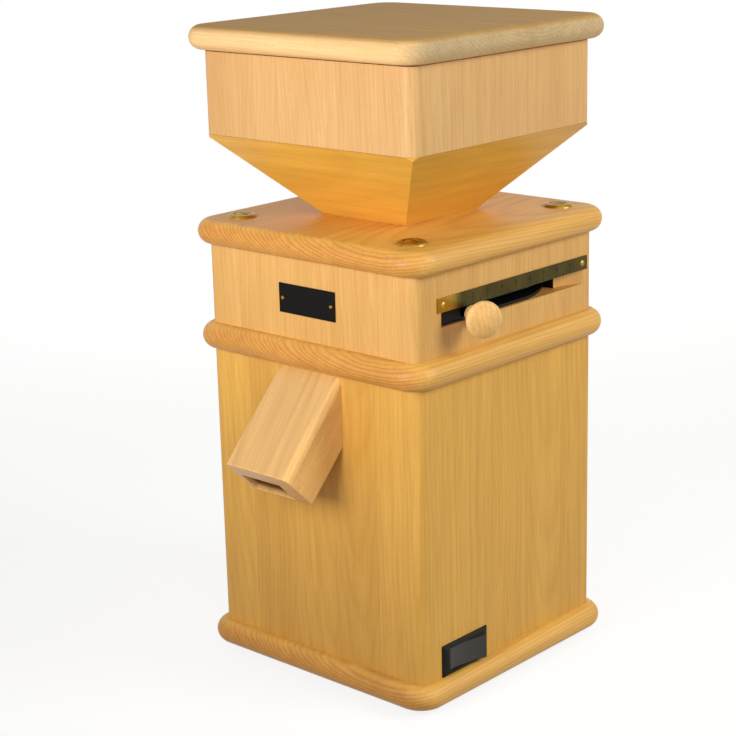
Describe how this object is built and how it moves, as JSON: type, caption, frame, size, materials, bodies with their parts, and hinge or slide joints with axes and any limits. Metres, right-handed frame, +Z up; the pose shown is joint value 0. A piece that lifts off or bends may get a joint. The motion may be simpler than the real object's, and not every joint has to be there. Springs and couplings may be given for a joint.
{
  "type": "electric grain mill",
  "caption": "Table-top electric grain mill in a light beech case, with a square hopper on a funnel, a slanted wooden spout, a setting lever in a slot and a rocker switch.",
  "frame": {"origin": "on the table, in the plane of the feet's undersides, under the middle of the whole mill's outline seen from above, knob and spout included", "axes": "+Z up, -Y towards the front with the flour spout, +X towards the side with the lever and the switch"},
  "size_m": [0.2726, 0.3032, 0.5335],
  "materials": {
    "rubber_dark": "matt",
    "steel": "zinc plated",
    "beech_board": "oiled beech, light, round edges",
    "beech_case": "oiled beech, light, upright grain",
    "beech_funnel": "oiled beech, warm",
    "beech_turned": "oiled beech, turned",
    "plastic_black": "black, satin",
    "plastic_inner": "dark, moulded",
    "plastic_feed": "natural, turned",
    "brass": "satin brass",
    "plate_black": "black, bare",
    "rod_dark": "blackened steel",
    "cast_grey": "cast",
    "motor_grey": "grey enamel",
    "copper": "enamelled copper windings on a steel core",
    "felt": "pressed felt",
    "millstone": null,
    "can_metal": "drawn can"
  },
  "bodies": {
    "case_body": {"feet": "rubber_dark", "feet_screws": "steel", "base_board": "beech_board", "base_screws": "steel", "lower_case": "beech_case", "cord_gland": "plastic_inner", "middle_board": "beech_board", "spout": "beech_board", "switch_frame": "plastic_black", "switch_body": "plastic_inner", "motor_top_shield": "cast_grey", "motor_screws": "steel", "motor_housing": "motor_grey", "motor_bottom_shield": "cast_grey", "stator": "copper", "bearings": "steel", "capacitor": "can_metal", "capacitor_clip": "steel", "upper_case": "beech_case", "nameplate": "plate_black", "nameplate_pins": "brass", "scale_plate": "brass", "scale_screws": "brass", "slot_guide": "plastic_black", "chamber": "cast_grey", "chamber_floor": "cast_grey", "chamber_screws": "steel", "shaft_seal": "felt", "guide_pins": "steel", "top_board": "beech_board", "feed_tube": "plastic_feed", "cup_washers": "brass", "top_screws": "brass", "funnel": "beech_funnel", "hopper_box": "beech_case"},
    "lid_body": {"lid": "beech_board", "lid_locator": "beech_board"},
    "lever_body": {"setting_ring": "rod_dark", "lever_rod": "rod_dark", "knob": "beech_turned"},
    "stone_lift_body": {"stone_carrier": "cast_grey", "carrier_skirt": "cast_grey", "carrier_screws": "steel", "upper_stone": "millstone"},
    "rotor_body": {"shaft": "steel", "rotor": "steel", "fan": "plastic_inner", "stone_holder": "cast_grey", "lower_stone": "millstone", "stone_nut": "steel"},
    "rocker_body": {"rocker": "plastic_black"}
  },
  "joints": [
    {"name": "lid_lift", "type": "slide", "parent": "case_body", "child": "lid_body", "axis": [0, 0, 1], "range_m": [0, 0.08]},
    {"name": "setting_lever", "type": "hinge", "parent": "case_body", "child": "lever_body", "pos_m": [-0.0113, 0.03365, 0.319], "axis": [0, 0, 1], "range_deg": [0, 52]},
    {"name": "stone_lift", "type": "slide", "parent": "case_body", "child": "stone_lift_body", "axis": [0, 0, 1], "range_m": [0, 0.00205]},
    {"name": "motor_shaft", "type": "hinge", "parent": "case_body", "child": "rotor_body", "pos_m": [-0.0113, 0.03365, 0.268], "axis": [0, 0, 1], "continuous": true},
    {"name": "switch_rocker", "type": "hinge", "parent": "case_body", "child": "rocker_body", "pos_m": [0.0997, -0.03435, 0.038], "axis": [0, 0, 1], "range_deg": [0, 18]}
  ],
  "couplings": [
    {"joint": "stone_lift", "follows": "setting_lever", "m_per_rad": 0.0022282}
  ]
}
